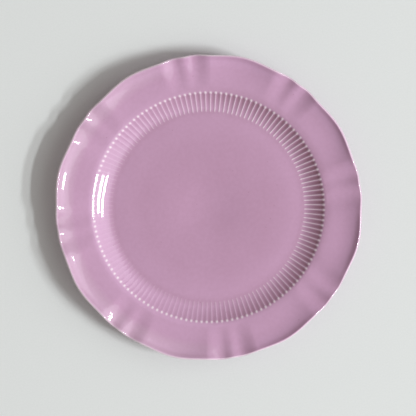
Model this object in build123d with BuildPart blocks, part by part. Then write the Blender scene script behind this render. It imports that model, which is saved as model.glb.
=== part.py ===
"""Scalloped dessert plate: one fired clay body, with glaze on its face, on its back and inside its foot ring."""

import math
import os

from build123d import *

# Outline and rim, of the bare clay
plate_radius = 100.0
shoulder_radius = 77.0
shoulder_height = 13.0
rim_root_angle = math.radians(8)
rim_edge_angle = math.radians(38)
rim_power = 3.9
rim_wall = 3.8
lip_round = 1.2
face_stations = (0.0, 0.5, 0.8, 1.0)
under_stations = (0.0, 0.55)
face_glaze_end_turn = 40
back_glaze_end_turn = -36

# Scallops: groups of two small ones between broad ones, with a crease at each meeting
group_count = 8
small_scallop_angle = 4.4
small_scallop_drop = 2.6
small_scallop_inset = 0.45
middle_crease_drop = 1.2
middle_crease_inset = 0.8
outer_crease_angle = 10.0
outer_crease_drop = -0.1
outer_crease_inset = 1.0

# Well with its fluted wall
floor_radius = 61.8
floor_height = 7.0
flute_count = 140
flute_ledge = 1.6
clay_flute_foot_depth = 0.8
clay_flute_top_depth = 1.3
glaze_flute_foot_depth = 0.35
glaze_flute_top_depth = 0.55

# Foot ring and back
foot_radius = 60.5
foot_width = 3.0
foot_round = 0.6
foot_flare = 1.0
foot_height = 2.6
recess_height = 2.4
back_ledge = 1.0
bare_foot = 1.2

# Glaze
glaze = 0.3

rim_edge_radius = plate_radius - lip_round - lip_round * math.sin(rim_edge_angle)
rim_width = rim_edge_radius - shoulder_radius
back_height = shoulder_height - rim_wall
back_radius = shoulder_radius - back_ledge
flute_top_radius = shoulder_radius - flute_ledge
neck_radius = foot_radius + foot_flare
back_slope = (back_height - foot_height) / (back_radius - neck_radius)


def point_at(radius, angle, height):
    """A point at a radius, an angle in degrees around the plate's axis and a height."""
    turn = math.radians(angle)
    return (radius * math.cos(turn), radius * math.sin(turn), height)


def face_height(share):
    """Height of the rim's face, which steepens from shoulder to lip by a power of the share of its width."""
    root = math.tan(rim_root_angle)
    bend = math.tan(rim_edge_angle) - root
    return shoulder_height + rim_width * (root * share + bend * share ** (rim_power + 1) / (rim_power + 1))


def scallop_ring(radius, height, share):
    """A ring of the rim, an arc for each scallop, with a share of the drop and inset at the lip."""

    def station(angle, drop, inset):
        return point_at(radius - share * inset, angle, height - share * drop)

    arcs = []
    for group in range(group_count):
        centre = 360 / group_count * group
        following = centre + 360 / group_count
        before = station(centre - outer_crease_angle, outer_crease_drop, outer_crease_inset)
        left = station(centre - small_scallop_angle, small_scallop_drop, small_scallop_inset)
        middle = station(centre, middle_crease_drop, middle_crease_inset)
        right = station(centre + small_scallop_angle, small_scallop_drop, small_scallop_inset)
        after = station(centre + outer_crease_angle, outer_crease_drop, outer_crease_inset)
        broad = station((centre + following) / 2, 0, 0)
        end = station(following - outer_crease_angle, outer_crease_drop, outer_crease_inset)
        arcs.append(Edge.make_three_point_arc(before, left, middle))
        arcs.append(Edge.make_three_point_arc(middle, right, after))
        arcs.append(Edge.make_three_point_arc(after, broad, end))
    return Wire(arcs)


def ring_loft(rows):
    """A solid through scalloped rings, given as radius, height and share, closed flat at both ends."""
    return Solid.make_loft([scallop_ring(*row) for row in rows], ruled=True)


def sharp_flute(ridge, bottom, next_ridge):
    """A flute as it is cut in the clay, with two straight sides."""
    return [Edge.make_line(ridge, bottom), Edge.make_line(bottom, next_ridge)]


def round_flute(ridge, bottom, next_ridge):
    """A flute as the glaze rounds it, in one arc."""
    return [Edge.make_three_point_arc(ridge, bottom, next_ridge)]


def flute_ring(flute, radius, height, depth):
    """A ring of flutes, which go outwards by their depth from ridge to ridge."""
    pitch = 360 / flute_count
    edges = []
    for turn in range(flute_count):
        ridge = point_at(radius, turn * pitch, height)
        bottom = point_at(radius + depth, (turn + 0.5) * pitch, height)
        next_ridge = point_at(radius, (turn + 1) * pitch, height)
        edges += flute(ridge, bottom, next_ridge)
    return Wire(edges)


def well_space(flute, lift, foot_depth, top_depth):
    """The space of the well, from its flat floor up the fluted wall to the shoulder."""
    foot = flute_ring(flute, floor_radius, floor_height + lift, foot_depth)
    top = flute_ring(flute, flute_top_radius, shoulder_height + lift, top_depth)
    return Solid.make_loft([foot, top], ruled=True)


def coated(rows, lip, lift):
    """Rings of a glaze coat: out along the clay to the lip, where it runs out, and back above it."""
    return rows + [lip] + [(radius, height + lift, share) for radius, height, share in reversed(rows)]


def rim_row(share, drop=0):
    """A ring of the rim at a share of its width, on the face or below it."""
    return (shoulder_radius + rim_width * share, face_height(share) - drop, share)


def lip_row(turn):
    """A ring of the round lip, at a turn in degrees from the line of the rim."""
    angle = rim_edge_angle + math.radians(turn)
    centre_radius = rim_edge_radius + lip_round * math.sin(rim_edge_angle)
    centre_height = face_height(1) - lip_round * math.cos(rim_edge_angle)
    return (centre_radius + lip_round * math.cos(angle), centre_height + lip_round * math.sin(angle), 1.0)


# Rings of the rim, from the shoulder over the lip to the back
face_rows = [rim_row(share) for share in face_stations]
face_lip = lip_row(face_glaze_end_turn)
back_lip = lip_row(back_glaze_end_turn)
under_rows = [rim_row(share, rim_wall) for share in under_stations] + [lip_row(-90)]

clay_well = well_space(sharp_flute, 0, clay_flute_foot_depth, clay_flute_top_depth)
glaze_well = well_space(round_flute, glaze, glaze_flute_foot_depth, glaze_flute_top_depth)

# Base under the well: foot ring, recess and sloping back
with BuildPart() as base:
    with BuildSketch(Plane.XZ):
        with BuildLine():
            Polyline(
                (0, recess_height),
                (foot_radius - foot_width, recess_height),
                (foot_radius - foot_width, 0),
                (foot_radius, 0),
                (neck_radius, foot_height),
                (back_radius, back_height),
                (back_radius, shoulder_height - rim_wall / 2),
                (0, shoulder_height - rim_wall / 2),
                close=True,
            )
        make_face()
    revolve(axis=Axis.Z)
    fillet(base.edges().group_by(Axis.Z)[0], foot_round)

with BuildPart() as clay_body:
    add(ring_loft(face_rows + [face_lip, back_lip] + under_rows[::-1]))
    add(base.part)
    add(clay_well, mode=Mode.SUBTRACT)

with BuildPart() as face_glaze:
    add(ring_loft(coated(face_rows, face_lip, glaze)))
    add(clay_well)
    add(glaze_well, mode=Mode.SUBTRACT)

# The coat on the back ends above the foot, which stays bare
with BuildPart() as back_glaze:
    add(ring_loft(coated(under_rows, back_lip, -glaze)))
    with BuildSketch(Plane.XZ):
        with BuildLine():
            Polyline(
                (foot_radius, bare_foot),
                (foot_radius + foot_flare * bare_foot / foot_height + glaze, bare_foot),
                (neck_radius + glaze, foot_height - glaze + back_slope * glaze),
                (back_radius, back_height - glaze),
                (back_radius, back_height),
                (neck_radius, foot_height),
                close=True,
            )
        make_face()
    revolve(axis=Axis.Z)
    add(base.part, mode=Mode.SUBTRACT)

with BuildPart() as recess_glaze:
    with BuildSketch(Plane.XZ):
        with BuildLine():
            Polyline(
                (0, recess_height),
                (foot_radius - foot_width, recess_height),
                (foot_radius - foot_width, bare_foot),
                (foot_radius - foot_width - glaze, bare_foot),
                (foot_radius - foot_width - glaze, recess_height - glaze),
                (0, recess_height - glaze),
                close=True,
            )
        make_face()
    revolve(axis=Axis.Z)

clay_body.part.label = "clay_body"
face_glaze.part.label = "face_glaze"
back_glaze.part.label = "back_glaze"
recess_glaze.part.label = "recess_glaze"

os.makedirs("parts", exist_ok=True)
export_step(clay_body.part, "parts/clay_body.step")
export_step(face_glaze.part, "parts/face_glaze.step")
export_step(back_glaze.part, "parts/back_glaze.step")
export_step(recess_glaze.part, "parts/recess_glaze.step")
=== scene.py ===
"""Looks of the scalloped dessert plate: a fired clay body with coats of lilac glaze, on a plain stage."""

import math

import bpy
import numpy as np
from bpy.props import FloatProperty, FloatVectorProperty, IntProperty, PointerProperty
from mathutils import Matrix, Vector


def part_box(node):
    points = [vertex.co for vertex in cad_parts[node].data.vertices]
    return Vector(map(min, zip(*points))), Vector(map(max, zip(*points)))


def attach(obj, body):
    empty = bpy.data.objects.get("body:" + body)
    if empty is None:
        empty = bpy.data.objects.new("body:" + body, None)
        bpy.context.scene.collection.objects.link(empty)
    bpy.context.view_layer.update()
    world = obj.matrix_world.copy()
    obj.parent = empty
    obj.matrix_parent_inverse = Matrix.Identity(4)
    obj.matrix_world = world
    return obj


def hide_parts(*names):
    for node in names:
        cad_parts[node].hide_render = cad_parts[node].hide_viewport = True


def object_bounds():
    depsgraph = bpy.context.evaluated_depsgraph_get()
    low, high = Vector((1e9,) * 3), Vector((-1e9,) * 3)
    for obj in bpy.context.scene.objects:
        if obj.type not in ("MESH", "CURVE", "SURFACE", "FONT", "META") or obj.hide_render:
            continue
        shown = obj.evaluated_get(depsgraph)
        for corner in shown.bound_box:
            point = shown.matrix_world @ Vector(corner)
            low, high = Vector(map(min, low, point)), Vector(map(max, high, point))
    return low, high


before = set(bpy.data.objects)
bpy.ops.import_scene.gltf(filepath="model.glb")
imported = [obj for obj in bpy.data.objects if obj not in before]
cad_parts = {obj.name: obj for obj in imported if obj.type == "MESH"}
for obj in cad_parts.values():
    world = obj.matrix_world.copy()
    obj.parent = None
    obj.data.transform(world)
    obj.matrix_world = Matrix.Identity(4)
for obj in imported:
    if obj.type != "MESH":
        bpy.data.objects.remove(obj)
cad_box = [list(corner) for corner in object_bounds()]

bl_info = {
    "name": "Scalloped Dessert Plate",
    "version": (1, 0, 0),
    "blender": (4, 5, 0),
    "location": "View3D > Sidebar > Plate",
    "description": "Builds the glazed surfaces of a scalloped dessert plate around its solid model",
    "category": "Object",
}


def widest_radius(node):
    """Largest distance of a node's points from the plate's axis."""
    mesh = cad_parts[node].data
    points = np.empty(len(mesh.vertices) * 3, np.float32)
    mesh.vertices.foreach_get("co", points)
    points = points.reshape(-1, 3)
    return float(np.hypot(points[:, 0], points[:, 1]).max())


# Sizes from the frame, where the scallops that reach further than the rest reach as far as the solid
UNEVEN_REACH = 0.0002
PLATE_RADIUS = widest_radius("clay_body") - UNEVEN_REACH
RECESS_RADIUS = widest_radius("recess_glaze")
FLOOR_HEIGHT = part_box("face_glaze")[0].z
RECESS_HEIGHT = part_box("recess_glaze")[1].z
BARE_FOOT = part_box("recess_glaze")[0].z


def length(name, description, default):
    """A size in metres, shown in the scene's units."""
    return FloatProperty(
        name=name, description=description, default=default, subtype="DISTANCE", unit="LENGTH"
    )


def turn(name, description, degrees):
    """An angle, given here in degrees."""
    return FloatProperty(
        name=name, description=description, default=math.radians(degrees), subtype="ANGLE", unit="ROTATION"
    )


def amount(name, description, default):
    """A plain number."""
    return FloatProperty(name=name, description=description, default=default)


def colour(name, description, default):
    """A colour as linear red, green and blue."""
    return FloatVectorProperty(
        name=name, description=description, default=default, subtype="COLOR", size=3, min=0, max=1
    )


class PlateForm(bpy.types.PropertyGroup):
    """Sizes of the clay and of its glaze."""

    radius: length("Radius", "Reach of the broad scallops", PLATE_RADIUS)
    shoulder_radius: length("Shoulder radius", "Where the rim begins", 0.077)
    shoulder_height: length("Shoulder height", "Height of the clay where the rim begins", 0.01282)
    shoulder_blend: length("Shoulder blend", "Rounding between wall and rim", 0.0004)
    shoulder_fall: length("Shoulder fall", "Fall of the rim's face where the flutes end", 0.00036)
    shoulder_reach: length("Shoulder reach", "Width over which that fall fades outwards", 0.0018)
    root_slope: turn("Root slope", "Slope of the rim at the shoulder", 6)
    edge_slope: turn("Edge slope", "Slope of the rim at the lip", 38)
    rim_power: amount("Rim curve", "Power of the curve by which the rim steepens", 3.75)
    rim_wall: length("Rim wall", "Thickness of the clay at the shoulder", 0.0038)
    lip_round: length("Lip round", "Radius of the clay lip", 0.0008)
    face_end: turn("Face glaze end", "Where the face glaze runs out, round the lip", 25)
    back_end: turn("Back glaze end", "Where the back glaze runs out, round the lip", -36)
    groups: IntProperty(name="Groups", description="Pairs of small scallops", default=8)
    small_angle: turn("Small scallop angle", "From the middle of a pair to a small scallop's middle", 3.8)
    outer_angle: turn("Outer crease angle", "From the middle of a pair to its outer crease", 10)
    small_drop: length("Small drop", "Fall of the lip in a small scallop", 0.0026)
    small_inset: length("Small inset", "Inset of the lip in a small scallop", 0.00042)
    middle_drop: length("Middle crease drop", "Fall of the lip at a middle crease", 0.0012)
    middle_inset: length("Middle crease inset", "Inset of the lip at a middle crease", 0.0008)
    outer_drop: length("Outer crease drop", "Fall of the lip at an outer crease", 0)
    outer_inset: length("Outer crease inset", "Inset of the lip at an outer crease", 0.0011)
    uneven: length("Uneven reach", "More and less reach of the broad scallops, by turns", UNEVEN_REACH)
    swell: length("Crease swell", "Rise of the creases and of the pair between them", 0.00125)
    hollow: length("Hollow", "Fall of the middle of a broad scallop, inside the lip", 0.00065)
    relief_power: amount("Relief curve", "Power by which the scallops fade towards the shoulder", 0.8)
    floor_radius: length("Floor radius", "Radius of the flat floor of the well", 0.0618)
    floor_height: length("Floor height", "Height of the clay floor", FLOOR_HEIGHT)
    floor_dip: length("Floor dip", "Sag of the floor at the foot of the wall", 0.0003)
    flutes: IntProperty(name="Flutes", description="Flutes round the wall", default=140)
    flute_top: length("Flute top", "Radius where the flutes end", 0.0754)
    flute_depth: length("Flute depth", "Depth of a flute below its ridges", 0.00045)
    wall_power: amount("Wall curve", "Power of the curve from the floor up the wall", 1.8)
    flute_soft: amount("Flute softness", "Rounding of the ridges between the flutes", 0.14)
    # On this side the flutes are deepest, the paler ridges are painted highlight and the darker ledge
    # outside the flute ends is painted shade.
    ridge_highlight_side: turn("Thin side", "Where the glaze breaks most over the ridges", 18)
    full_side: turn("Full side", "Where the glaze fills the flutes", 161)
    # On this side, whose walls face away from the window light, darker glaze in the flutes and along the lip
    # is painted shade; paler glaze on the rim opposite to it is painted sheen.
    shaded_side: turn("Deep side", "Where the glaze in the flutes is darkest", 3)
    foot_radius: length("Foot radius", "Radius of the foot where it stands", 0.0605)
    foot_flare: length("Foot flare", "Outward lean of the foot", 0.0010)
    foot_height: length("Foot height", "Height of the foot's outer side", 0.0026)
    recess_radius: length("Recess radius", "Radius inside the foot", RECESS_RADIUS)
    recess_height: length("Recess height", "Height of the clay inside the foot", RECESS_HEIGHT)
    bare_foot: length("Bare foot", "Height of the clay left bare on the foot", BARE_FOOT)
    foot_cut: length("Foot rounding", "Rounding of the foot's corners", 0.0007)
    glaze: length("Glaze", "Thickness of the glaze", 0.0003)
    glaze_edge: length("Glaze edge", "Least thickness, where the glaze runs out", 0.00002)
    lip_fade: length("Lip fade", "Width over which the glaze thins towards the lip", 0.0009)
    foot_fade: length("Foot fade", "Width of the rolled edge above the bare foot", 0.0004)


class PlateFinish(bpy.types.PropertyGroup):
    """Colours of the glaze and the clay."""

    lilac: colour("Lilac", "Glaze at its full thickness", (0.623, 0.37, 0.551))
    # The pale colour also paints highlight on the ridges and corners and sheen on the rim's lit side.
    pale: colour("Pale lilac", "Glaze where it breaks thin over an edge", (0.84, 0.70, 0.77))
    # The dark colour also paints shade in the flutes and along the lip on the shaded side and outside the
    # shoulder.
    deep_and_shade: colour("Deep lilac", "Glaze where it pools", (0.24, 0.10, 0.13))
    clay: colour("Clay", "Bare fired clay", (0.76, 0.68, 0.64))
    rubbed: colour("Rubbed clay", "Grey marks from use under the foot", (0.40, 0.36, 0.35))


class PlateStage(bpy.types.PropertyGroup):
    """Floor, light and camera."""

    picture_turn: turn("Picture turn", "Turn of the plate in the picture", 9.3)
    camera_tilt: turn("Camera tilt", "Lean of the camera from straight above", 5)
    camera_distance: length("Camera distance", "From the lip's level to the camera", 1.0)
    picture_width: length("Picture width", "Width of the picture at the lip's level", 0.2683)
    picture_right: length("Picture right", "Place of the plate right of the picture's middle", 0.0004)
    picture_up: length("Picture up", "Place of the plate above the picture's middle", -0.0006)
    light_turn: turn("Light turn", "Direction of the window light in the picture", -12.7)
    light_height: turn("Light height", "Elevation of the window light", 41)
    light_distance: length("Light distance", "From the plate to the window light", 5)
    light_power: amount("Light power", "Power of all panes together, in watts", 190)
    light_colour: colour("Light colour", "Colour of window and glow", (0.935, 0.985, 1.0))
    pane_width: length("Pane width", "Width of a pane of the window", 0.62)
    pane_height: length("Pane height", "Height of a pane of the window", 0.25)
    column_gap: length("Column gap", "Gap between panes beside each other", 0.05)
    row_gap: length("Row gap", "Gap between panes above each other", 0.42)
    glow_width: length("Glow width", "Width of the wide soft light about the window", 6.5)
    glow_height: length("Glow height", "Height of the wide soft light about the window", 4.5)
    glow_shift: length("Glow shift", "Place of the wide soft light right of the window", 0.9)
    glow_power: amount("Glow power", "Power of the wide soft light about the window, in watts", 100)
    sky: amount("Sky", "Strength of the soft light from all sides", 0.33)
    sky_colour: colour("Sky colour", "Colour of the soft light from all sides", (1.0, 0.94, 0.90))
    floor_side: length("Floor side", "Length of the floor's sides", 3)
    paper: colour("Paper", "Floor between its grains", (0.70, 0.71, 0.70))
    grain: colour("Grain", "Grains of the floor", (0.76, 0.77, 0.76))


def soft_min(first, second, blend):
    """The smaller of two values, rounded over a blend width where they cross."""
    return (first + second - np.sqrt((first - second) ** 2 + blend**2)) / 2


def ease(start, end, value):
    """Smooth step from 0 at the start to 1 at the end."""
    share = np.clip((value - start) / (end - start), 0, 1)
    return share * share * (3 - 2 * share)


def band(rise, fall, value):
    """Smooth band: from 0 to 1 over the rise, and back to 0 over the fall."""
    return ease(*rise, value) * (1 - ease(*fall, value))


def between(start, end, share):
    """Value at a share of the way from the start to the end."""
    return start + (end - start) * share


def facing(angle, side):
    """How far an angle faces a side of the plate: a cosine wave, 1 at that side and 0 opposite to it."""
    return (1 + np.cos(angle - side)) / 2


def rim_width(form):
    """Width of the rim from shoulder to lip."""
    return form.radius - form.lip_round * (1 + math.sin(form.edge_slope)) - form.shoulder_radius


def rim_curve(form, radius):
    """Height and slope of the clay rim, straight at first and steeper by a power curve to the lip."""
    width = rim_width(form)
    share = (radius - form.shoulder_radius) / width
    outside = np.maximum(share, 0)
    root = math.tan(form.root_slope)
    bend = math.tan(form.edge_slope) - root
    steeper = bend * outside**form.rim_power
    height = form.shoulder_height + width * (root * share + steeper * outside / (form.rim_power + 1))
    return height, root + steeper


def rim_face(form, radius):
    """Height of the rim's face, which falls away to the flutes' outer ends by an exponential curve."""
    outside = np.maximum(radius - form.flute_top, 0)
    return rim_curve(form, radius)[0] - form.shoulder_fall * np.exp(-outside / form.shoulder_reach)


def wall_share(form, radius):
    """Share of the way from the floor to the flutes' outer ends."""
    return np.maximum((radius - form.floor_radius) / (form.flute_top - form.floor_radius), 0)


def wall_rise(form):
    """Rise of the wall from the floor to the flutes' outer ends."""
    return float(rim_face(form, form.flute_top)) - form.floor_height


# Where the floor sags, as shares of its radius
SAG_BAND = ((0.84, 1.0), (1.0, 1.15))


def face_height(form, radius):
    """Height of the clay face along the ridges: sagging floor and power curve, blended into the rim."""
    sag = form.floor_dip * band(*SAG_BAND, radius / form.floor_radius)
    wall = form.floor_height - sag + wall_rise(form) * wall_share(form, radius) ** form.wall_power
    return soft_min(wall, rim_face(form, radius), form.shoulder_blend)


def swung(offset, stations, values):
    """Values at an offset: half a cosine wave from each station to the next."""
    stations = np.array(stations)
    values = np.array(values)
    number = np.clip(np.searchsorted(stations, offset, side="right") - 1, 0, len(stations) - 2)
    share = (offset - stations[number]) / (stations[number + 1] - stations[number])
    return values[number] + (values[number + 1] - values[number]) * (1 - np.cos(math.pi * share)) / 2


def scallops(form, angle):
    """Inset, drop and rise of the rim, from the middle of a pair over a small scallop to a broad one.

    Inset and drop swing from each crease or middle to the next, and a sine wave moves the broad scallops
    outwards and inwards by turns. The rise is a share: it goes as a parabola from 0 in the middle of a broad
    scallop to 1 at the crease, and stays across the pair.
    """
    half = math.pi / form.groups
    offset = np.abs((angle + half) % (2 * half) - half)
    stations = (0, form.small_angle, form.outer_angle, half)
    inset = swung(offset, stations, (form.middle_inset, form.small_inset, form.outer_inset, 0))
    inset = inset + form.uneven * np.sin(form.groups / 2 * angle)
    drop = swung(offset, stations, (form.middle_drop, form.small_drop, form.outer_drop, 0))
    rise = np.minimum((half - offset) / (half - form.outer_angle), 1) ** 2
    return inset, drop, rise


# Swell and hollow of the rim: powers of their growth and of their fading at the lip, and loss of swell
SWELL_POWER = 1.2
LIP_POWER = 8
SWELL_LOSS = 0.6

# Share of the scallops' relief that comes in only near the lip, and its power
LATE_RELIEF = 0.25
LATE_POWER = 6


def rim_relief(form, share, angle):
    """Inset and rise of the rim at a share of the way from shoulder to lip.

    The scallops fade towards the shoulder as the sum of two powers of the share. The creases swell and the
    broad scallops are hollow by another power, and at the lip part of the swell and all of the hollow fade.
    """
    inset, drop, rise = scallops(form, angle)
    relief = (1 - LATE_RELIEF) * share**form.relief_power + LATE_RELIEF * share**LATE_POWER
    swell = form.swell * rise * (1 - SWELL_LOSS * share**LIP_POWER)
    hollow = form.hollow * (1 - rise) * (1 - share**LIP_POWER)
    return relief * inset, (swell - hollow) * share**SWELL_POWER - relief * drop


# Places across the rim, from 0 at the shoulder to 1 at the lip
SHEEN_START = (0.3, 0.75)
SHEEN_END = (0.95, 1.0)
LIP_START = (0.86, 0.96)
MIDDLE_BAND = ((0, 0.1), (0.6, 0.9))

# Glaze of the rim: cosines of the turn over which it pales as painted sheen, how thin it is there, and
# depths of its pools, which along the lip grow on the shaded side as painted shade
SHEEN_TURN = (-0.4, 0.6)
SHEEN_POWER = 0.35
SHEEN_PALING = 0.17
SHEEN_DEEPENING = (0.09, 0.15)
LIP_POOL_AND_SHADE = (0.07, 0.12)
SCALLOP_POOL = 0.14
MIDDLE_POOL = 0.12


def rim_glaze(form, share, thin, angle):
    """How thin and how pooled the glaze of the rim is.

    It pools in the small scallops, across the middle of the rim and along the lip, most on the shaded side,
    where the extra pooling is painted shade. Opposite to that side it pales as painted sheen: what is thin
    counts for more, by a power, and from the middle outwards a sheen zone is both thinner and deeper than
    the rest.
    """
    drop = scallops(form, angle)[1]
    # Darker glaze towards the shaded side is painted shade, and paler glaze away from it is painted sheen.
    towards = np.cos(angle - form.shaded_side)
    paler = ease(*SHEEN_TURN, -towards)
    sheen = paler * ease(*SHEEN_START, share)
    bare = np.maximum(thin ** between(1, SHEEN_POWER, paler), SHEEN_PALING * sheen)
    lip = ease(*LIP_START, share)
    # Along the lip the pooled glaze grows towards the shaded side: painted shade over the glaze's own
    # pooling.
    lip_pool_and_shade = lip * between(*LIP_POOL_AND_SHADE, ease(0, 1, towards))
    in_scallops = SCALLOP_POOL * share * np.clip(drop / form.small_drop, 0, 1)
    pool_and_shade = np.maximum(np.maximum(in_scallops, lip_pool_and_shade), MIDDLE_POOL * band(*MIDDLE_BAND, share))
    return bare, pool_and_shade + between(*SHEEN_DEEPENING, lip) * sheen * (1 - ease(*SHEEN_END, share))


# Depth of the flutes, as shares of the full one: at the foot, on the far side, and where glaze fills them
FOOT_DEPTH = 0.6
FAR_DEPTH = 0.2
FILLED_DEPTH = 0.08

# Power of the fall to the far side's depth, and cosines of the turn over which glaze fills the flutes
FAR_POWER = 1.2
FILLED_TURN = (0.85, 0.965)

# Places up the wall, from 0 at its foot to 1 at the flutes' ends
FLUTE_START = (0, 0.12)
FLOOR_POOL_END = (0, 0.5)
RIDGE_BAND = ((0.01, 0.06), (0.9, 1.0))
RIDGE_NARROWING = (0, 0.35)
RIDGE_FADING = (0.45, 0.95)
CORNER_START = (0.86, 0.95)

# Places across a flute, from 0 in its middle to 1 on the ridge, and outwards from its end, in half flutes
RIDGE_SIDES = (0.56, 0.72)
CORNER_SIDES = (0.35, 0.85)
CORNER_END = (-0.4, 0.5)

# Thinness of the glaze: up the ridges, and from the far side to the highlight side by a power, where paler
# ridges are painted highlight; and on the corners between ends, painted highlight dots where the glaze also
# breaks thin
RIDGE_THIN = (1.05, 0.6)
SIDE_HIGHLIGHT = (0.15, 0.95)
SIDE_POWER = 1.5
CORNER_BREAK_AND_HIGHLIGHT = 0.95

# Pools in the flutes, as painted shade on the shaded side, by a power of the way up, and on the floor, with
# a paler ring in shares of its radius
GROOVE_POWER = 0.8
FLOOR_POOL = 0.25
RING_PALING = 0.08
RING_BAND = ((0.65, 0.93), (0.955, 1.0))

# Painted shade outside the shoulder, as darker glaze, in shares of the radius where the flutes end
LEDGE_SHADE = 0.22
LEDGE_BAND = ((0.98, 1.0), (1.02, 1.12))


def flute_cell(form, radius, angle):
    """Place in a flute: share up the wall, share across to the ridge, half flutes past the end, and scoop.

    Across a flute the scoop falls off as a parabola to soft ridges. Its outer end is round: there the
    distance from the end's centre is used.
    """
    pitch = 2 * math.pi / form.flutes
    half = radius * pitch / 2
    across = ((angle / pitch) % 1 - 0.5) * radius * pitch
    along = np.maximum(radius - form.flute_top * (1 - pitch / 2), 0)
    room = 1 - (across**2 + along**2) / half**2
    scoop = (room + np.sqrt(room**2 + form.flute_soft**2)) / 2
    climb = np.minimum(wall_share(form, radius), 1)
    return climb, np.abs(across) / half, (radius - form.flute_top) / half, scoop


def scoop_depth(form, climb, angle):
    """Depth of a full scoop, which starts softly at the foot and grows up the wall.

    It falls off from the highlight side to the far side, and glaze fills it on the full side.
    """
    depth = form.flute_depth * ease(*FLUTE_START, climb) * between(FOOT_DEPTH, 1, climb)
    depth = depth * between(FAR_DEPTH, 1, facing(angle, form.ridge_highlight_side) ** FAR_POWER)
    return depth * between(1, FILLED_DEPTH, ease(*FILLED_TURN, np.cos(angle - form.full_side)))


def flute_thinness(form, climb, edge, beyond, angle):
    """How thin the glaze is over the ridges, paler as painted highlight most on the highlight side, and over
    the corners at their ends, painted as highlight dots as well as a thin break.
    """
    ridge = ease(between(*RIDGE_SIDES, ease(*RIDGE_NARROWING, climb)), 1, edge) * band(*RIDGE_BAND, climb)
    ridge = ridge * between(*RIDGE_THIN, ease(*RIDGE_FADING, climb))
    # The paler ridges towards the highlight side are painted highlight.
    ridge = ridge * between(*SIDE_HIGHLIGHT, facing(angle, form.ridge_highlight_side) ** SIDE_POWER)
    # Paler corners between the flute ends are painted highlight dots as well as a thin break.
    corner = ease(*CORNER_SIDES, edge) * ease(*CORNER_START, climb) * (1 - ease(*CORNER_END, beyond))
    return np.maximum(ridge, CORNER_BREAK_AND_HIGHLIGHT * corner)


def flute_pool_and_shade(form, radius, climb, scoop, angle):
    """Depth of the glaze: on the floor, and as painted shade in the shaded side's flutes and outside the
    highlight side's.
    """
    floor = FLOOR_POOL - RING_PALING * band(*RING_BAND, radius / form.floor_radius)
    # Darker glaze in the flutes on the shaded side is painted shade.
    groove_shade = np.clip(scoop, 0, 1) * climb**GROOVE_POWER * facing(angle, form.shaded_side)
    # Darker glaze outside the shoulder on the highlight side is painted shade.
    ledge_shade = LEDGE_SHADE * facing(angle, form.ridge_highlight_side) * band(*LEDGE_BAND, radius / form.flute_top)
    return np.maximum(np.maximum(groove_shade, ledge_shade), floor * (1 - ease(*FLOOR_POOL_END, climb)))


# Fewest columns to a flute that can crowd at its ridges, and how far they crowd
FEWEST_COLUMNS = 4
RIDGE_CROWDING = 0.75


def columns_round(form, columns):
    """Angles of the columns of a ring, drawn to the ridges by a sine wave where each flute has enough."""
    per_flute = columns // form.flutes
    if columns % form.flutes or per_flute < FEWEST_COLUMNS:
        return np.arange(columns) * 2 * math.pi / columns
    phase = np.arange(per_flute) / per_flute
    phase = phase - RIDGE_CROWDING * np.sin(2 * math.pi * phase) / (2 * math.pi)
    whole = np.arange(form.flutes)[:, None] + phase[None, :]
    return whole.ravel() * 2 * math.pi / form.flutes


def carried_round(form, profile, columns, fluted):
    """Grid of a profile carried round the plate, with how thin and how pooled the glaze is at each point,
    marks that also carry painted highlight, sheen and shade.

    A profile row holds radius, height, share of the way from shoulder to lip, and thinness of the glaze.
    """
    angle = columns_round(form, columns)[None, :]
    radius, height, share, thin = (profile[:, [index]] for index in range(profile.shape[1]))
    inset, rise = rim_relief(form, share, angle)
    bare, pool_and_shade = rim_glaze(form, share, thin, angle)
    reach = radius - inset
    level = height + rise
    if fluted:
        climb, edge, beyond, scoop = flute_cell(form, radius, angle)
        level = level - scoop_depth(form, climb, angle) * scoop
        bare = np.maximum(bare, flute_thinness(form, climb, edge, beyond, angle))
        pool_and_shade = np.maximum(pool_and_shade, flute_pool_and_shade(form, radius, climb, scoop, angle))
    return np.stack([reach * np.cos(angle), reach * np.sin(angle), level, bare, pool_and_shade], axis=-1)


def zipped(coarse, fine):
    """Triangles between a ring and one with a whole number of times its points."""
    times = len(fine) // len(coarse)
    first = times * np.arange(len(coarse))
    number = first[:, None] + np.arange(times)[None, :]
    following = np.roll(coarse, -1)
    apex = np.where(np.arange(times)[None, :] < times // 2, coarse[:, None], following[:, None])
    fans = np.stack([apex, fine[number], fine[(number + 1) % len(fine)]], axis=-1).reshape(-1, 3)
    bridges = np.stack([coarse, fine[first + times // 2], following], axis=-1)
    return np.concatenate([fans, bridges])


def strip(before, after):
    """Faces between two rings of point numbers, a ring of one point being a pole."""
    if len(before) == len(after):
        return np.stack([before, after, np.roll(after, -1), np.roll(before, -1)], axis=-1)
    if len(before) == 1:
        return np.stack([np.repeat(before, len(after)), after, np.roll(after, -1)], axis=-1)
    if len(after) == 1:
        return np.stack([before, np.repeat(after, len(before)), np.roll(before, -1)], axis=-1)
    if len(before) < len(after):
        return zipped(before, after)
    return zipped(after, before)[:, ::-1]


def pole(grid, row):
    """The point on the axis that closes a row of a grid."""
    centre = grid[row].mean(axis=0)
    centre[:2] = 0
    return centre[None, None, :]


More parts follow.
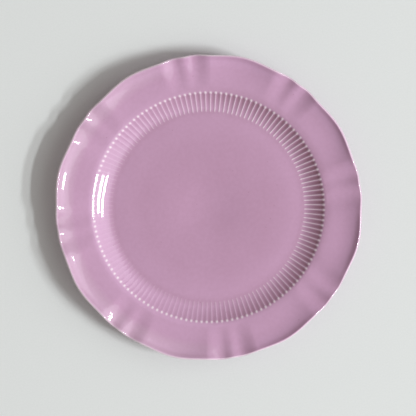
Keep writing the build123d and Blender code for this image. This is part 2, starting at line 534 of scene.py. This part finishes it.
def make_piece(name, grids, loop):
    """A mesh object through grids of rings in order, closed as a loop or by a pole at both ends."""
    if not loop:
        grids = [pole(grids[0], 0)] + grids + [pole(grids[-1], -1)]
    rings = []
    count = 0
    for grid in grids:
        rows, columns = grid.shape[:2]
        rings += list(count + np.arange(rows * columns).reshape(rows, columns))
        count += rows * columns
    if loop:
        rings.append(rings[0])
    faces = [strip(before, after) for before, after in zip(rings, rings[1:])]
    points = np.concatenate([grid.reshape(-1, grid.shape[-1]) for grid in grids])
    corners = np.concatenate([face.ravel() for face in faces])
    sizes = np.concatenate([np.full(len(face), face.shape[1]) for face in faces])
    mesh = bpy.data.meshes.new(name)
    mesh.vertices.add(count)
    mesh.vertices.foreach_set("co", points[:, :3].astype(np.float32).ravel())
    mesh.loops.add(len(corners))
    mesh.loops.foreach_set("vertex_index", corners.astype(np.int32))
    mesh.polygons.add(len(sizes))
    mesh.polygons.foreach_set("loop_start", (np.cumsum(sizes) - sizes).astype(np.int32))
    mesh.polygons.foreach_set("use_smooth", np.ones(len(sizes), bool))
    # The thin mark also holds painted highlight and sheen, and the pooling mark painted shade.
    for index, mark in enumerate(("thin", "pool_and_shade")):
        layer = mesh.attributes.new(mark, "FLOAT", "POINT")
        layer.data.foreach_set("value", points[:, 3 + index].astype(np.float32))
    mesh.update(calc_edges=True)
    if mesh.validate():
        raise ValueError(f"the mesh of {name} has faulty faces")
    piece = bpy.data.objects.new(name, mesh)
    bpy.context.scene.collection.objects.link(piece)
    return piece


def rows_of(radius, height, share, columns):
    """Profile rows: radius, height, share of the way from shoulder to lip, and number of columns."""
    parts = np.broadcast_arrays(radius, height, share, columns)
    return np.stack([np.asarray(part, float) for part in parts], axis=-1)


def lip_rows(form, start, end, count, columns):
    """Rows round the circle of the lip, from one turn to another, counted from the line of the rim."""
    angle = form.edge_slope + np.linspace(start, end, count)
    edge = form.shoulder_radius + rim_width(form)
    middle_radius = edge + form.lip_round * math.sin(form.edge_slope)
    middle_height = rim_curve(form, edge)[0] - form.lip_round * math.cos(form.edge_slope)
    radius = middle_radius + form.lip_round * np.cos(angle)
    return rows_of(radius, middle_height + form.lip_round * np.sin(angle), 1, columns)


# Rows of the face at full detail, from the middle of the floor to the lip
FLOOR_ROWS = 6
SAG_ROWS = 6
WALL_ROWS = 11
SCOOP_ROWS = 18
RIM_ROWS = 26
LIP_ROWS = 9

# Where the rows of floor and wall lie, in shares of the floor's radius
FLOOR_SPAN = (0.1, 0.82)
SAG_SPAN = (0.84, 0.97)
WALL_START = 0.985

# Start of the scoops' rows, in half flutes, and of the rim's, and power by which these crowd at the lip
SCOOP_START = 1.6
RIM_START = 0.0015
RIM_POWER = 1.5


def face_rows(form, detail, columns):
    """Rows of the clay face from the middle of the floor to the lip, with most rows at the flutes' ends."""
    edge = form.shoulder_radius + rim_width(form)
    foot = form.floor_radius
    scoop_start = form.flute_top - SCOOP_START * math.pi * form.flute_top / form.flutes
    rim_start = form.shoulder_radius + RIM_START
    wall = np.linspace(WALL_START * foot, scoop_start, round(WALL_ROWS * detail), endpoint=False)
    scoop = np.linspace(scoop_start, rim_start, round(SCOOP_ROWS * detail), endpoint=False)
    rim = np.linspace(1, 0, round(RIM_ROWS * detail), endpoint=False) ** RIM_POWER
    bands = [
        (np.linspace(*FLOOR_SPAN, FLOOR_ROWS) * foot, form.flutes),
        (np.linspace(*SAG_SPAN, round(SAG_ROWS * detail)) * foot, columns // 2),
        (np.concatenate([wall, scoop]), columns),
        (edge - (edge - rim_start) * rim, columns // 2),
    ]
    rows = []
    for radius, count in bands:
        share = np.clip((radius - form.shoulder_radius) / rim_width(form), 0, 1)
        rows.append(rows_of(radius, face_height(form, radius), share, count))
    rows.append(lip_rows(form, math.pi / 2, form.face_end, round(LIP_ROWS * detail), columns // 2))
    return np.concatenate(rows)


def run_along(rows):
    """Distance along rows or points from the first one."""
    steps = np.linalg.norm(np.diff(rows[:, :2], axis=0), axis=1)
    return np.concatenate([[0], np.cumsum(steps)])


# Points that round one corner of a line
CORNER_POINTS = 9


def rounded(corners, cut, spacing):
    """A line through corners, each rounded by a quadratic curve, with points at an even spacing."""
    corners = np.array(corners)
    share = np.linspace(0, 1, CORNER_POINTS)[:, None]
    path = [corners[:1]]
    for before, corner, after in zip(corners, corners[1:], corners[2:]):
        start = corner + (before - corner) * cut / np.linalg.norm(before - corner)
        end = corner + (after - corner) * cut / np.linalg.norm(after - corner)
        path.append((1 - share) ** 2 * start + 2 * share * (1 - share) * corner + share**2 * end)
    path = np.concatenate(path + [corners[-1:]])
    run = run_along(path)
    even = np.linspace(0, run[-1], round(run[-1] / spacing) + 1)
    return np.stack([np.interp(even, run, path[:, 0]), np.interp(even, run, path[:, 1])], axis=-1)


def outer_end(form):
    """Radius and height where the back glaze ends, on the foot's outer side."""
    return form.foot_radius + form.foot_flare * form.bare_foot / form.foot_height, form.bare_foot


def inner_end(form):
    """Radius and height where the glaze inside the foot ends."""
    return form.recess_radius, form.bare_foot


# Rows of the back at full detail, and the spacing of points round the foot
BACK_ROWS = 18
CONE_ROWS = 16
FOOT_SPACING = 0.00025
RING_SPACING = 0.0002

# The cone between foot and rim: ledge at its top, rounding under the rim, and clearance at the neck
CONE_LEDGE = 0.001
CONE_BLEND = 0.0006
NECK_CLEARANCE = 0.002


def back_rows(form, detail, columns):
    """Rows of the clay back from the lip along the rim and the cone to the bare part of the foot.

    Under the rim the rows are the face moved along its normal by the wall, which thins towards the lip.
    """
    neck_radius = form.foot_radius + form.foot_flare
    share = np.linspace(1, 0, round(BACK_ROWS * detail))[1:]
    face = form.shoulder_radius + rim_width(form) * share
    height, slope = rim_curve(form, face)
    wall = between(form.rim_wall, 2 * form.lip_round, share)
    tilt = np.arctan(slope)
    radius = face + wall * np.sin(tilt)
    height = height - wall * np.cos(tilt)
    cone_rise = form.shoulder_height - form.rim_wall - form.foot_height
    cone_slope = cone_rise / (form.shoulder_radius - neck_radius - CONE_LEDGE)

    def under(reach, level):
        return soft_min(form.foot_height + (reach - neck_radius) * cone_slope, level, CONE_BLEND)

    cone = np.linspace(radius[-1], neck_radius + NECK_CLEARANCE, round(CONE_ROWS * detail))[1:]
    cone_height = under(cone, height[-1] + (cone - radius[-1]) * math.tan(form.root_slope))
    corners = [(cone[-1], cone_height[-1]), (neck_radius, form.foot_height), outer_end(form)]
    foot = rounded(corners, form.foot_cut, FOOT_SPACING / detail)[1:]
    return np.concatenate(
        [
            lip_rows(form, form.back_end, -math.pi / 2, round(LIP_ROWS * detail), columns),
            rows_of(radius, under(radius, height), share, columns),
            rows_of(cone, cone_height, 0, columns // 2),
            rows_of(foot[:, 0], foot[:, 1], 0, columns // 2),
        ]
    )


def foot_rows(form, columns):
    """Rows of the bare foot, round the ring that the plate stands on."""
    corners = [outer_end(form), (form.foot_radius, 0), (form.recess_radius, 0), inner_end(form)]
    path = rounded(corners, form.foot_cut, RING_SPACING)
    return rows_of(path[1:-1, 0], path[1:-1, 1], 0, columns)


# Rows of the recess between its rounded corner and the middle, in shares of its radius
CEILING_START = 0.94
CEILING_SPAN = (0.85, 0.08)
CEILING_ROWS = 6


def recess_rows(form, detail, columns):
    """Rows of the clay inside the foot, from the bare part of the ring to the middle."""
    corner = (form.recess_radius, form.recess_height)
    end = (CEILING_START * form.recess_radius, form.recess_height)
    path = rounded([inner_end(form), corner, end], form.foot_cut, RING_SPACING / detail)
    ceiling = np.linspace(*CEILING_SPAN, CEILING_ROWS) * form.recess_radius
    return np.concatenate(
        [
            rows_of(path[:, 0], path[:, 1], 0, columns),
            rows_of(ceiling, form.recess_height, 0, columns),
        ]
    )


def raised(rows, thickness):
    """Rows moved along the normal of their profile by a thickness."""
    along = np.gradient(rows[:, :2], axis=0)
    along /= np.linalg.norm(along, axis=1)[:, None]
    moved = rows.copy()
    moved[:, 0] -= thickness * along[:, 1]
    moved[:, 1] += thickness * along[:, 0]
    return moved


def coat_thickness(form, distance, fade):
    """Thickness of the glaze at a distance from its end: a quarter sine up to the full coat."""
    full = np.sin(math.pi / 2 * np.clip(distance / fade, 0, 1))
    return between(form.glaze_edge, form.glaze, full)


def bands_round(form, rows, thin, fluted):
    """Grids for rows, one for each stretch of rows with the same number of columns."""
    breaks = np.flatnonzero(np.diff(rows[:, 3])) + 1
    grids = []
    for part, part_thin in zip(np.split(rows, breaks), np.split(thin, breaks)):
        profile = np.column_stack([part[:, :3], part_thin])
        grids.append(carried_round(form, profile, int(part[0, 3]), fluted))
    return grids


def coat(form, rows, inner_rows, start_fade, end_fade, fluted):
    """Grids of a coat of glaze: out over its surface, and back along the clay under it."""
    run = run_along(rows)
    thickness = np.full(len(rows), form.glaze)
    if start_fade:
        thickness = np.minimum(thickness, coat_thickness(form, run, start_fade))
    if end_fade:
        thickness = np.minimum(thickness, coat_thickness(form, run[-1] - run, end_fade))
    outside = bands_round(form, raised(rows, thickness), 1 - thickness / form.glaze, fluted)
    under = raised(inner_rows, form.glaze_edge / 2)[::-1]
    return outside + bands_round(form, under, np.zeros(len(under)), fluted)


def new_node(tree, kind, inputs=(), **settings):
    """A node with its settings, whose inputs are values or the sockets that they link to."""
    node = tree.nodes.new(kind)
    for key, value in settings.items():
        setattr(node, key, value)
    for key, value in dict(inputs).items():
        if isinstance(value, bpy.types.NodeSocket):
            tree.links.new(value, node.inputs[key])
        else:
            node.inputs[key].default_value = value
    return node


def math_node(tree, operation, first, second=0.0):
    """Result of one sum on two values or sockets."""
    return new_node(tree, "ShaderNodeMath", {0: first, 1: second}, operation=operation).outputs[0]


# Colour sockets of a Mix node, by their place
MIX_FACTOR = 0
MIX_FIRST = 6
MIX_SECOND = 7
MIX_RESULT = 2


def mixed(tree, factor, first, second):
    """A colour mixed from two colours or sockets."""
    inputs = {MIX_FACTOR: factor, MIX_FIRST: first, MIX_SECOND: second}
    return new_node(tree, "ShaderNodeMix", inputs, data_type="RGBA").outputs[MIX_RESULT]


def spread_over(tree, value, source, target):
    """A value moved from a source range to a target range and held there."""
    inputs = {
        "Value": value,
        "From Min": source[0],
        "From Max": source[1],
        "To Min": target[0],
        "To Max": target[1],
    }
    return new_node(tree, "ShaderNodeMapRange", inputs).outputs["Result"]


def noise(tree, place, scale, detail=2.0):
    """Noise between 0 and 1 at a scale per metre."""
    inputs = {"Vector": place, "Scale": scale, "Detail": detail}
    return new_node(tree, "ShaderNodeTexNoise", inputs).outputs["Fac"]


def object_place(tree):
    """Coordinates of the piece itself, in metres."""
    return new_node(tree, "ShaderNodeTexCoord").outputs["Object"]


def attribute(tree, name):
    """A value that the mesh holds at each point."""
    return new_node(tree, "ShaderNodeAttribute", attribute_name=name).outputs["Fac"]


def new_group(name, inputs, outputs):
    """An empty shader node group with named sockets, its input node and its output node."""
    tree = bpy.data.node_groups.new(name, "ShaderNodeTree")
    for socket, kind in inputs:
        tree.interface.new_socket(socket, in_out="INPUT", socket_type=kind)
    for socket, kind in outputs:
        tree.interface.new_socket(socket, in_out="OUTPUT", socket_type=kind)
    return tree, tree.nodes.new("NodeGroupInput"), tree.nodes.new("NodeGroupOutput")


def sockets(kind, *names):
    """Named sockets of one kind for a group."""
    return [(name, kind) for name in names]


def ripple_group():
    """Slow waves and fine grain of a fired surface, as a height and as a change of gloss."""
    inputs = sockets("NodeSocketFloat", "Wave Scale", "Grain Scale", "Grain")
    outputs = sockets("NodeSocketFloat", "Height", "Gloss")
    tree, given, result = new_group("Fired ripple", inputs, outputs)
    place = object_place(tree)
    wave = noise(tree, place, given.outputs["Wave Scale"], detail=1.0)
    grain = noise(tree, place, given.outputs["Grain Scale"], detail=3.0)
    height = math_node(tree, "MULTIPLY", grain, given.outputs["Grain"])
    tree.links.new(math_node(tree, "ADD", wave, height), result.inputs["Height"])
    tree.links.new(math_node(tree, "MULTIPLY", wave, grain), result.inputs["Gloss"])
    return tree


def speck_group():
    """Sparse specks: small discs in some cells of a cell pattern."""
    inputs = sockets("NodeSocketFloat", "Scale", "Share", "Size")
    tree, given, result = new_group("Fired specks", inputs, sockets("NodeSocketFloat", "Mask"))
    pattern = {"Vector": object_place(tree), "Scale": given.outputs["Scale"]}
    cells = new_node(tree, "ShaderNodeTexVoronoi", pattern)
    chance = new_node(tree, "ShaderNodeSeparateColor", {"Color": cells.outputs["Color"]}).outputs["Red"]
    chosen = math_node(tree, "LESS_THAN", chance, given.outputs["Share"])
    spread = math_node(tree, "DIVIDE", cells.outputs["Distance"], given.outputs["Size"])
    disc = math_node(tree, "MAXIMUM", math_node(tree, "SUBTRACT", 1.0, spread), 0.0)
    tree.links.new(math_node(tree, "MULTIPLY", chosen, disc), result.inputs["Mask"])
    return tree


def break_group():
    """Colour of a glaze by its depth: paler where it breaks thin over an edge and where painted highlight
    and sheen are set, deeper where it pools and where painted shade is set.

    Fine noise stirs the edges of the thin places, and clouds and a finer mottle vary the depth.
    """
    stir_scale = 700.0
    stir_strength = 0.5
    noise_middle = 0.5
    thin_range = (0.05, 0.9)
    thin_share = (0.0, 1.0)
    cloud_scale = 45.0
    cloud_range = (0.3, 0.7)
    cloud_depth = (0.0, 0.05)
    mottle_scale = 420.0
    mottle_range = (0.35, 0.65)
    mottle_depth = (0.0, 0.045)
    pool_and_shade_strength = 0.95
    inputs = sockets("NodeSocketColor", "Body", "Pale", "Deep")
    tree, given, result = new_group("Glaze break", inputs, sockets("NodeSocketColor", "Color"))
    place = object_place(tree)
    thin = attribute(tree, "thin")
    stir = math_node(tree, "SUBTRACT", noise(tree, place, stir_scale), noise_middle)
    stir = math_node(tree, "MULTIPLY", stir, math_node(tree, "MULTIPLY", thin, stir_strength))
    thin = spread_over(tree, math_node(tree, "ADD", thin, stir), thin_range, thin_share)
    cloud = spread_over(tree, noise(tree, place, cloud_scale, detail=3.0), cloud_range, cloud_depth)
    mottle = spread_over(tree, noise(tree, place, mottle_scale), mottle_range, mottle_depth)
    # The pooling mark also holds painted shade.
    pool_and_shade = math_node(tree, "MULTIPLY", attribute(tree, "pool_and_shade"), pool_and_shade_strength)
    depth = math_node(tree, "ADD", math_node(tree, "ADD", cloud, mottle), pool_and_shade)
    body = mixed(tree, depth, given.outputs["Body"], given.outputs["Deep"])
    tree.links.new(mixed(tree, thin, body, given.outputs["Pale"]), result.inputs["Color"])
    return tree


def group_node(tree, name, maker, **values):
    """A group placed in a material, made the first time that it is asked for."""
    group = bpy.data.node_groups.get(name) or maker()
    node = tree.nodes.new("ShaderNodeGroup")
    node.node_tree = group
    for key, value in values.items():
        node.inputs[key.replace("_", " ")].default_value = value
    return node


def new_material(name):
    """A material, its node tree and its principled shader."""
    material = bpy.data.materials.new(name)
    material.use_nodes = True
    tree = material.node_tree
    return material, tree, tree.nodes["Principled BSDF"]


def add_bump(tree, shader, height, distance):
    """Relief of a surface from a height, in metres at its full value."""
    bump = new_node(tree, "ShaderNodeBump", {"Strength": 1.0, "Distance": distance, "Height": height})
    tree.links.new(bump.outputs["Normal"], shader.inputs["Normal"])


def glaze_material(finish, name, specks):
    """Glossy lilac glaze over pale clay, with slow ripples, sparse specks and breaks over the edges, and the
    painted highlight, sheen and shade that the mesh's marks carry.
    """
    speck_strength = 0.5
    gloss_range = (0.1, 0.45)
    roughness = (0.05, 0.09)
    ripple_height = 0.00006
    material, tree, shader = new_material(name)
    ripple = group_node(tree, "Fired ripple", ripple_group, Wave_Scale=90.0, Grain_Scale=1400.0, Grain=0.05)
    speck = group_node(tree, "Fired specks", speck_group, Scale=260.0, Share=specks, Size=0.12)
    deep_and_shade = (*finish.deep_and_shade, 1)
    depth = group_node(
        tree, "Glaze break", break_group, Body=(*finish.lilac, 1), Pale=(*finish.pale, 1), Deep=deep_and_shade
    )
    spotted = math_node(tree, "MULTIPLY", speck.outputs["Mask"], speck_strength)
    tree.links.new(mixed(tree, spotted, depth.outputs["Color"], deep_and_shade), shader.inputs["Base Color"])
    gloss = spread_over(tree, ripple.outputs["Gloss"], gloss_range, roughness)
    tree.links.new(gloss, shader.inputs["Roughness"])
    add_bump(tree, shader, ripple.outputs["Height"], ripple_height)
    shader.inputs["IOR"].default_value = 1.55
    return material


def clay_material(finish):
    """Pale fired clay: glossy under the thinnest glaze on the lip, and bare and rubbed on the foot. The
    lip's lilac wash follows the pooling mark, so it carries painted shade on the shaded side.
    """
    speck_strength = 0.5
    rub_level = (0.0, 0.0005)
    rub_share = (1.0, 0.0)
    streak_scale = 600.0
    streak_range = (0.48, 0.62)
    streak_share = (0.0, 0.7)
    wash_range = (0.07, 0.12)
    wash_share = (0.0, 0.6)
    gloss_range = (0.1, 0.4)
    roughness = (0.62, 0.8)
    washed_roughness = 0.16
    washed_coat = 0.4
    grain_height = 0.00008
    material, tree, shader = new_material("fired_clay")
    ripple = group_node(tree, "Fired ripple", ripple_group, Wave_Scale=160.0, Grain_Scale=2600.0, Grain=0.8)
    speck = group_node(tree, "Fired specks", speck_group, Scale=700.0, Share=0.12, Size=0.25)
    thin = attribute(tree, "thin")
    bare = math_node(tree, "SUBTRACT", 1.0, thin)
    place = object_place(tree)
    level = new_node(tree, "ShaderNodeSeparateXYZ", {"Vector": place}).outputs["Z"]
    low = spread_over(tree, level, rub_level, rub_share)
    streak = spread_over(tree, noise(tree, place, streak_scale, detail=4.0), streak_range, streak_share)
    spots = math_node(tree, "MULTIPLY", speck.outputs["Mask"], speck_strength)
    rub = math_node(tree, "MAXIMUM", math_node(tree, "MULTIPLY", low, streak), spots)
    body = mixed(tree, math_node(tree, "MULTIPLY", rub, bare), (*finish.clay, 1), (*finish.rubbed, 1))
    # The lip's lilac wash follows the pooling mark, so it also carries painted shade on the shaded side and
    # stays pale on the other side.
    wash_and_shade = spread_over(tree, attribute(tree, "pool_and_shade"), wash_range, wash_share)
    wash = mixed(tree, wash_and_shade, (*finish.pale, 1), (*finish.lilac, 1))
    tree.links.new(mixed(tree, thin, body, wash), shader.inputs["Base Color"])
    bare_rough = spread_over(tree, ripple.outputs["Gloss"], gloss_range, roughness)
    bare_rough = math_node(tree, "MULTIPLY", bare_rough, bare)
    washed_rough = math_node(tree, "MULTIPLY", thin, washed_roughness)
    tree.links.new(math_node(tree, "ADD", bare_rough, washed_rough), shader.inputs["Roughness"])
    tree.links.new(math_node(tree, "MULTIPLY", thin, washed_coat), shader.inputs["Coat Weight"])
    add_bump(tree, shader, math_node(tree, "MULTIPLY", ripple.outputs["Height"], bare), grain_height)
    shader.inputs["Coat Roughness"].default_value = 0.05
    return material


def finish_piece(piece, material, node):
    """Gives a piece its material and seats it in the frame in place of its solid."""
    piece.data.materials.append(material)
    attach(piece, "root")
    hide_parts(node)


# Columns to a flute: on the face glaze, on the other surfaces and inside the foot
FACE_COLUMNS = 12
PLAIN_COLUMNS = 6
RECESS_COLUMNS = 3

# Detail of the rows: full on the glaze, less on the clay, and least where glaze meets clay
FULL_DETAIL = 1.0
CLAY_FACE_DETAIL = 0.6
CLAY_BACK_DETAIL = 0.7
HIDDEN_FACE_DETAIL = 0.35
HIDDEN_BACK_DETAIL = 0.6

# The clay lip: rows round it, and share of the rim's width over which a wash of glaze fades in
BARE_LIP_ROWS = 12
WASH_SHARE = 0.1

# Shares of the cells of the speck pattern that hold a speck
FACE_SPECKS = 0.10
BACK_SPECKS = 0.2


class PLATE_OT_fired_clay(bpy.types.Operator):
    """Makes the fired clay body, whose lip and foot show between the coats of glaze."""

    bl_idname = "plate.fired_clay"
    bl_label = "Fired Clay"

    def execute(self, context):
        form = context.scene.plate_form
        columns = PLAIN_COLUMNS * form.flutes
        face = face_rows(form, CLAY_FACE_DETAIL, columns)
        # The clay's rim has as many columns as its wall, unlike the glaze's
        face[:, 3] = np.where(face[:, 3] == columns // 2, columns, face[:, 3])
        lip = lip_rows(form, form.face_end, form.back_end, BARE_LIP_ROWS, columns)[1:-1]
        back = back_rows(form, CLAY_BACK_DETAIL, columns)
        foot = foot_rows(form, columns // 2)
        recess = recess_rows(form, CLAY_BACK_DETAIL, columns // 2)
        under = np.concatenate([lip, back, foot, recess])
        edge = form.shoulder_radius + rim_width(form)
        fade = edge - WASH_SHARE * rim_width(form)
        grids = bands_round(form, face, ease(fade, edge, face[:, 0]), True)
        grids += bands_round(form, under, ease(fade, edge, under[:, 0]), False)
        piece = make_piece("fired_clay", grids, False)
        finish_piece(piece, clay_material(context.scene.plate_finish), "clay_body")
        return {"FINISHED"}


class PLATE_OT_face_coat(bpy.types.Operator):
    """Makes the glaze on the face, over floor, flutes and rim to the lip."""

    bl_idname = "plate.face_coat"
    bl_label = "Face Glaze"

    def execute(self, context):
        form = context.scene.plate_form
        outer = face_rows(form, FULL_DETAIL, FACE_COLUMNS * form.flutes)
        inner = face_rows(form, HIDDEN_FACE_DETAIL, PLAIN_COLUMNS * form.flutes)
        piece = make_piece("face_coat", coat(form, outer, inner, 0, form.lip_fade, True), False)
        material = glaze_material(context.scene.plate_finish, "face_glaze", FACE_SPECKS)
        finish_piece(piece, material, "face_glaze")
        return {"FINISHED"}


class PLATE_OT_under_coats(bpy.types.Operator):
    """Makes the glaze on the back and the glaze inside the foot, which leave the foot ring bare."""

    bl_idname = "plate.under_coats"
    bl_label = "Back Glaze"

    def execute(self, context):
        form = context.scene.plate_form
        material = glaze_material(context.scene.plate_finish, "back_glaze", BACK_SPECKS)
        outer = back_rows(form, FULL_DETAIL, PLAIN_COLUMNS * form.flutes)
        inner = back_rows(form, HIDDEN_BACK_DETAIL, PLAIN_COLUMNS * form.flutes)
        piece = make_piece("back_coat", coat(form, outer, inner, form.lip_fade, form.foot_fade, False), True)
        finish_piece(piece, material, "back_glaze")
        outer = recess_rows(form, FULL_DETAIL, RECESS_COLUMNS * form.flutes)
        inner = recess_rows(form, HIDDEN_BACK_DETAIL, RECESS_COLUMNS * form.flutes)
        grids = coat(form, outer, inner, form.foot_fade, 0, False)
        # These rows end in the middle, so the grids along the clay come first
        half = len(grids) // 2
        piece = make_piece("recess_coat", grids[half:] + grids[:half], False)
        finish_piece(piece, material, "recess_glaze")
        return {"FINISHED"}


def floor_material(stage):
    """Pale matt paper with a faint grain."""
    grain_scale = 900.0
    material, tree, shader = new_material("pale_floor")
    grain = noise(tree, object_place(tree), grain_scale, detail=4.0)
    tree.links.new(mixed(tree, grain, (*stage.paper, 1), (*stage.grain, 1)), shader.inputs["Base Color"])
    shader.inputs["Roughness"].default_value = 0.9
    return material


def direction(angle, elevation):
    """Unit vector at an angle round the plate and an elevation."""
    level = math.cos(elevation)
    return Vector((level * math.cos(angle), level * math.sin(angle), math.sin(elevation)))


# Places of two panes from the middle of the window, in steps from one to the next
PANE_STEPS = (-0.5, 0.5)

# Width of the camera's sensor in millimetres
SENSOR_WIDTH = 36


class PLATE_OT_stage(bpy.types.Operator):
    """Makes the floor, the window light of four panes, the soft sky and the camera."""

    bl_idname = "plate.stage"
    bl_label = "Stage"

    def execute(self, context):
        stage = context.scene.plate_stage
        self.add_floor(stage)
        self.add_light(stage)
        self.add_camera(context.scene, stage, cad_box[1][2])
        world = bpy.data.worlds.new("soft_sky")
        world.use_nodes = True
        background = world.node_tree.nodes["Background"]
        background.inputs["Color"].default_value = (*stage.sky_colour, 1)
        background.inputs["Strength"].default_value = stage.sky
        context.scene.world = world
        context.scene.view_settings.view_transform = "Standard"
        return {"FINISHED"}

    def add_floor(self, stage):
        """A flat square under the plate."""
        half = stage.floor_side / 2
        corners = [(-half, -half, 0), (half, -half, 0), (half, half, 0), (-half, half, 0)]
        mesh = bpy.data.meshes.new("floor")
        mesh.from_pydata(corners, [], [(0, 1, 2, 3)])
        floor = bpy.data.objects.new("floor", mesh)
        floor.data.materials.append(floor_material(stage))
        bpy.context.scene.collection.objects.link(floor)

    def add_light(self, stage):
        """A window of four panes, as the highlights on the rim show, in a wide soft glow."""
        towards = direction(stage.light_turn - stage.picture_turn, stage.light_height)
        right = Vector((0, 0, 1)).cross(towards).normalized()
        up = towards.cross(right)
        window = towards * stage.light_distance
        turned = Matrix((right, up, towards)).transposed().to_4x4()
        column_step = right * (stage.pane_width + stage.column_gap)
        row_step = up * (stage.pane_height + stage.row_gap)
        pane_size = (stage.pane_width, stage.pane_height)
        pane_power = stage.light_power / len(PANE_STEPS) ** 2
        for column in PANE_STEPS:
            for row in PANE_STEPS:
                place = window + column_step * column + row_step * row
                self.add_panel(stage, "pane", place, turned, pane_size, pane_power)
        glow_place = window + right * stage.glow_shift
        glow_size = (stage.glow_width, stage.glow_height)
        self.add_panel(stage, "glow", glow_place, turned, glow_size, stage.glow_power)

    def add_panel(self, stage, name, place, turned, size, power):
        """One flat light that faces the plate."""
        data = bpy.data.lights.new(name, "AREA")
        data.shape = "RECTANGLE"
        data.size, data.size_y = size
        data.energy = power
        data.color = stage.light_colour
        panel = bpy.data.objects.new(name, data)
        panel.matrix_world = Matrix.Translation(place) @ turned
        bpy.context.scene.collection.objects.link(panel)

    def add_camera(self, scene, stage, level):
        """Camera above the plate, leaning a little from the top of the picture."""
        right = direction(-stage.picture_turn, 0)
        up = Vector((0, 0, 1)).cross(right)
        lean = stage.camera_tilt
        back = up * math.sin(lean) + Vector((0, 0, 1)) * math.cos(lean)
        top = up * math.cos(lean) - Vector((0, 0, 1)) * math.sin(lean)
        data = bpy.data.cameras.new("camera")
        data.sensor_width = SENSOR_WIDTH
        data.lens = data.sensor_width * stage.camera_distance / stage.picture_width
        camera = bpy.data.objects.new("camera", data)
        centre = Vector((0, 0, level)) - right * stage.picture_right - top * stage.picture_up
        turned = Matrix((right, top, back)).transposed().to_4x4()
        camera.matrix_world = Matrix.Translation(centre + back * stage.camera_distance) @ turned
        scene.collection.objects.link(camera)
        scene.camera = camera


class PLATE_PT_panel(bpy.types.Panel):
    """Lists the plate's pieces and its stage in the sidebar."""

    bl_idname = "PLATE_PT_panel"
    bl_label = "Scalloped Dessert Plate"
    bl_space_type = "VIEW_3D"
    bl_region_type = "UI"
    bl_category = "Plate"

    def draw(self, context):
        for operator in OPERATORS:
            self.layout.operator(operator.bl_idname)


OPERATORS = (PLATE_OT_fired_clay, PLATE_OT_face_coat, PLATE_OT_under_coats, PLATE_OT_stage)
GROUPS = {"plate_form": PlateForm, "plate_finish": PlateFinish, "plate_stage": PlateStage}
CLASSES = tuple(GROUPS.values()) + OPERATORS + (PLATE_PT_panel,)


def register():
    """Adds the classes, and the plate's settings on the scene."""
    for item in CLASSES:
        bpy.utils.register_class(item)
    for name, group in GROUPS.items():
        setattr(bpy.types.Scene, name, PointerProperty(type=group))


def unregister():
    """Takes the settings and the classes away."""
    for name in GROUPS:
        delattr(bpy.types.Scene, name)
    for item in reversed(CLASSES):
        bpy.utils.unregister_class(item)


def main():
    """Builds every piece and the stage."""
    register()
    bpy.ops.plate.fired_clay()
    bpy.ops.plate.face_coat()
    bpy.ops.plate.under_coats()
    bpy.ops.plate.stage()


if __name__ == "__main__":
    main()
